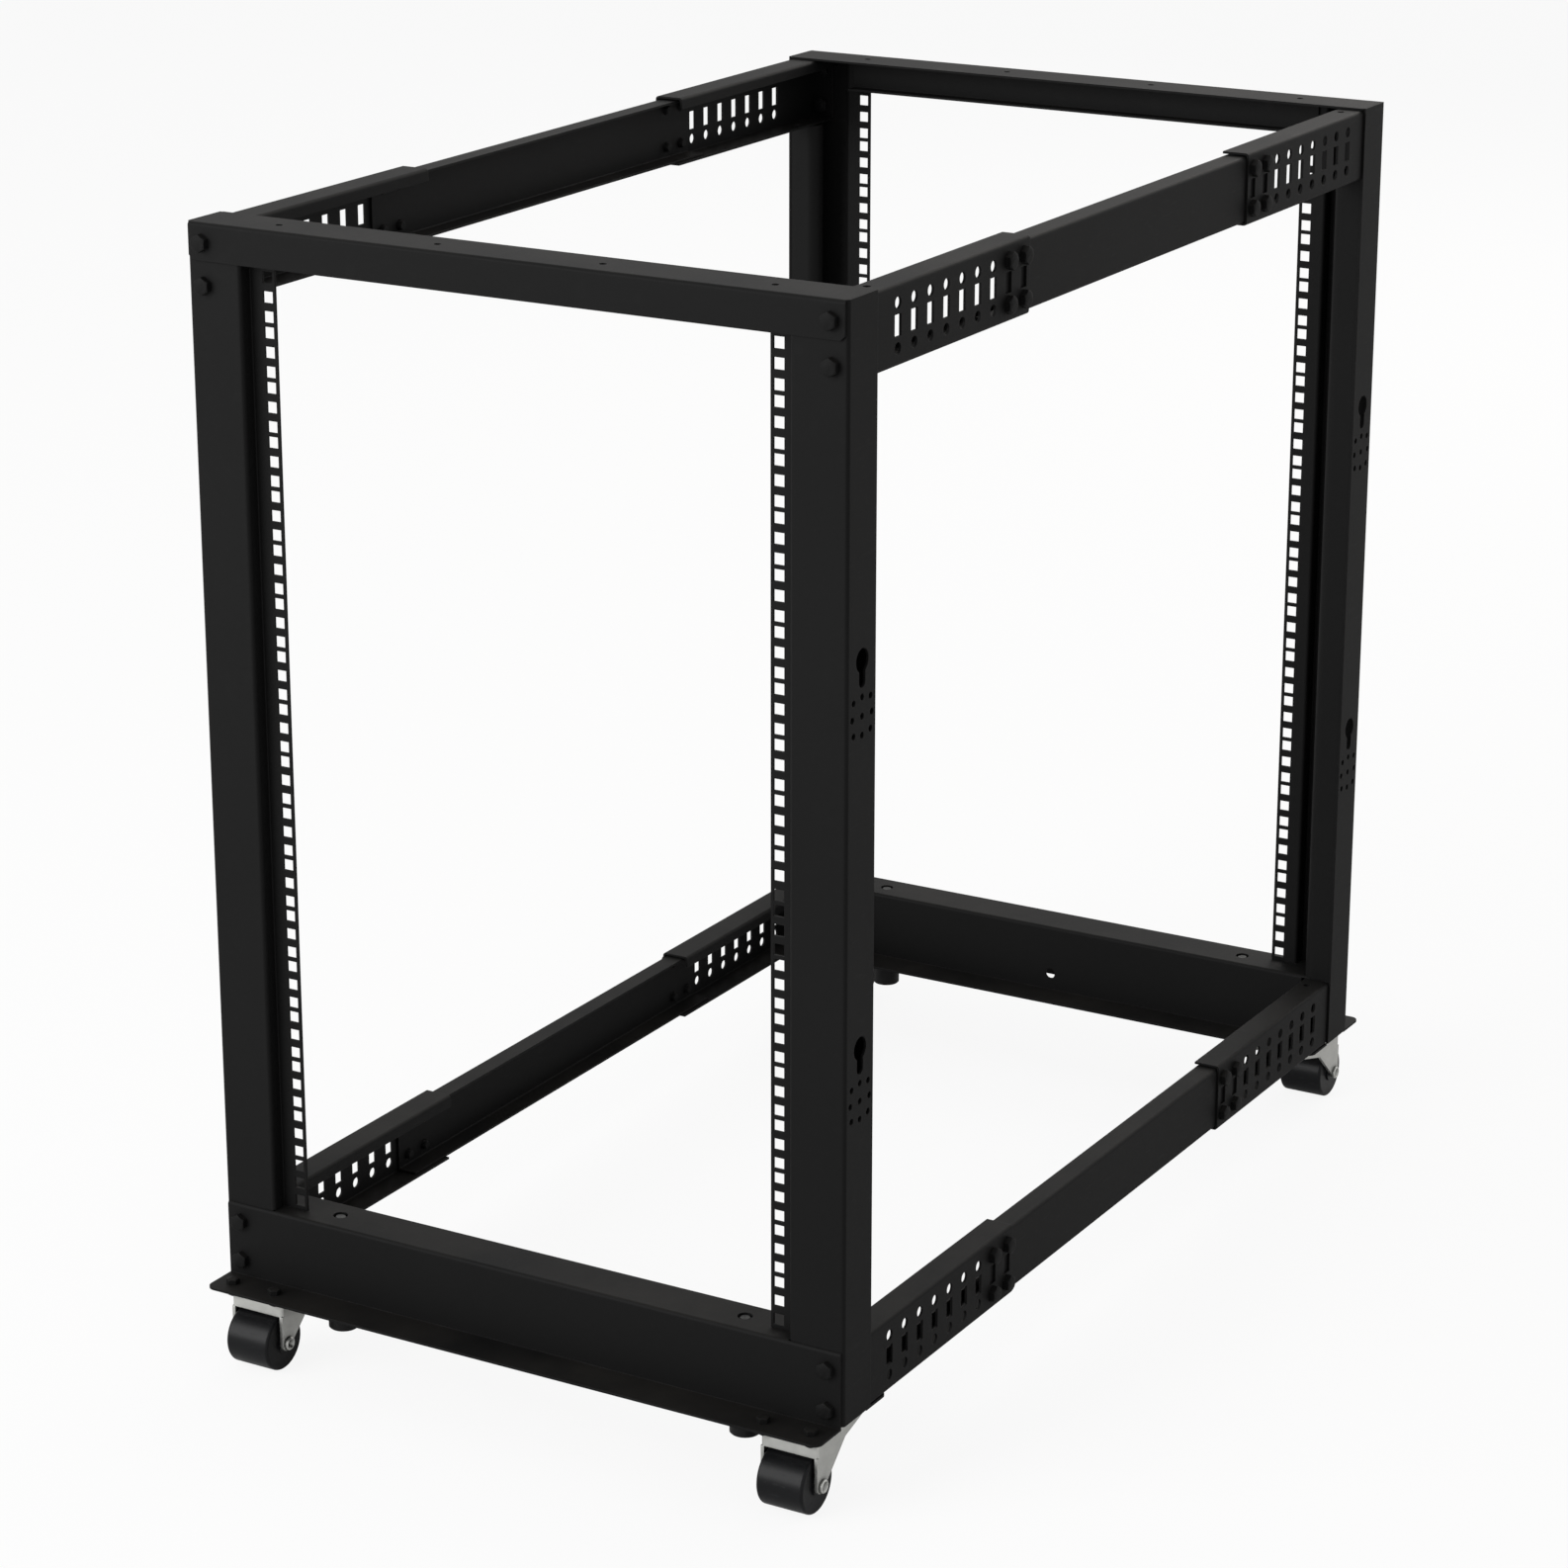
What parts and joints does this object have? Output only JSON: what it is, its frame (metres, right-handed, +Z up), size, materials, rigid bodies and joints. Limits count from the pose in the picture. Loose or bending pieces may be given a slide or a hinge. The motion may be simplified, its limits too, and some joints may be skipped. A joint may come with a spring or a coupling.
{
  "type": "four post open frame server rack",
  "caption": "Open frame equipment rack with four posts of square mounting holes, adjustable-depth side rails, fixed casters and levelling feet.",
  "frame": {"origin": "on the floor under the middle of the rack", "axes": "+Z up, -Y out of the front, +X to the right seen from the front"},
  "size_m": [0.5984, 1.0658, 0.9761],
  "materials": {
    "black_powder_coat": "matte black powder coat",
    "zinc_plate": "satin zinc plate",
    "wheel_nylon": "black nylon with a soft sheen",
    "foot_plastic": "black moulded plastic on a steel stem"
  },
  "bodies": {
    "frame": {"post_front_right": "black_powder_coat", "post_front_left": "black_powder_coat", "post_rear_right": "black_powder_coat", "post_rear_left": "black_powder_coat", "header_front": "black_powder_coat", "header_rear": "black_powder_coat", "base_front": "black_powder_coat", "base_rear": "black_powder_coat", "top_sleeve_front_right": "black_powder_coat", "top_sleeve_front_left": "black_powder_coat", "top_sleeve_rear_right": "black_powder_coat", "top_sleeve_rear_left": "black_powder_coat", "bottom_sleeve_front_right": "black_powder_coat", "bottom_sleeve_front_left": "black_powder_coat", "bottom_sleeve_rear_right": "black_powder_coat", "bottom_sleeve_rear_left": "black_powder_coat", "top_bar_right": "black_powder_coat", "top_bar_left": "black_powder_coat", "bottom_bar_right": "black_powder_coat", "bottom_bar_left": "black_powder_coat", "fork_front_right": "zinc_plate", "fork_front_left": "zinc_plate", "fork_rear_right": "zinc_plate", "fork_rear_left": "zinc_plate", "axle_front_right": "zinc_plate", "axle_front_left": "zinc_plate", "axle_rear_right": "zinc_plate", "axle_rear_left": "zinc_plate"},
    "front_right_wheel": {"wheel_front_right": "wheel_nylon"},
    "front_right_foot": {"foot_front_right": "foot_plastic"},
    "front_left_wheel": {"wheel_front_left": "wheel_nylon"},
    "front_left_foot": {"foot_front_left": "foot_plastic"},
    "rear_right_wheel": {"wheel_rear_right": "wheel_nylon"},
    "rear_right_foot": {"foot_rear_right": "foot_plastic"},
    "rear_left_wheel": {"wheel_rear_left": "wheel_nylon"},
    "rear_left_foot": {"foot_rear_left": "foot_plastic"}
  },
  "joints": [
    {"name": "front_right_wheel_spin", "type": "hinge", "parent": "frame", "child": "front_right_wheel", "pos_m": [0.2594, -0.5045, 0.0248], "axis": [1, 0, 0], "continuous": true},
    {"name": "front_left_wheel_spin", "type": "hinge", "parent": "frame", "child": "front_left_wheel", "pos_m": [-0.2594, -0.5045, 0.0248], "axis": [1, 0, 0], "continuous": true},
    {"name": "rear_right_wheel_spin", "type": "hinge", "parent": "frame", "child": "rear_right_wheel", "pos_m": [0.2594, 0.5045, 0.0248], "axis": [1, 0, 0], "continuous": true},
    {"name": "rear_left_wheel_spin", "type": "hinge", "parent": "frame", "child": "rear_left_wheel", "pos_m": [-0.2594, 0.5045, 0.0248], "axis": [1, 0, 0], "continuous": true},
    {"name": "front_right_foot_screw", "type": "slide", "parent": "frame", "child": "front_right_foot", "axis": [0, 0, 1], "range_m": [-0.045, 0]},
    {"name": "front_left_foot_screw", "type": "slide", "parent": "frame", "child": "front_left_foot", "axis": [0, 0, 1], "range_m": [-0.045, 0]},
    {"name": "rear_right_foot_screw", "type": "slide", "parent": "frame", "child": "rear_right_foot", "axis": [0, 0, 1], "range_m": [-0.045, 0]},
    {"name": "rear_left_foot_screw", "type": "slide", "parent": "frame", "child": "rear_left_foot", "axis": [0, 0, 1], "range_m": [-0.045, 0]}
  ]
}
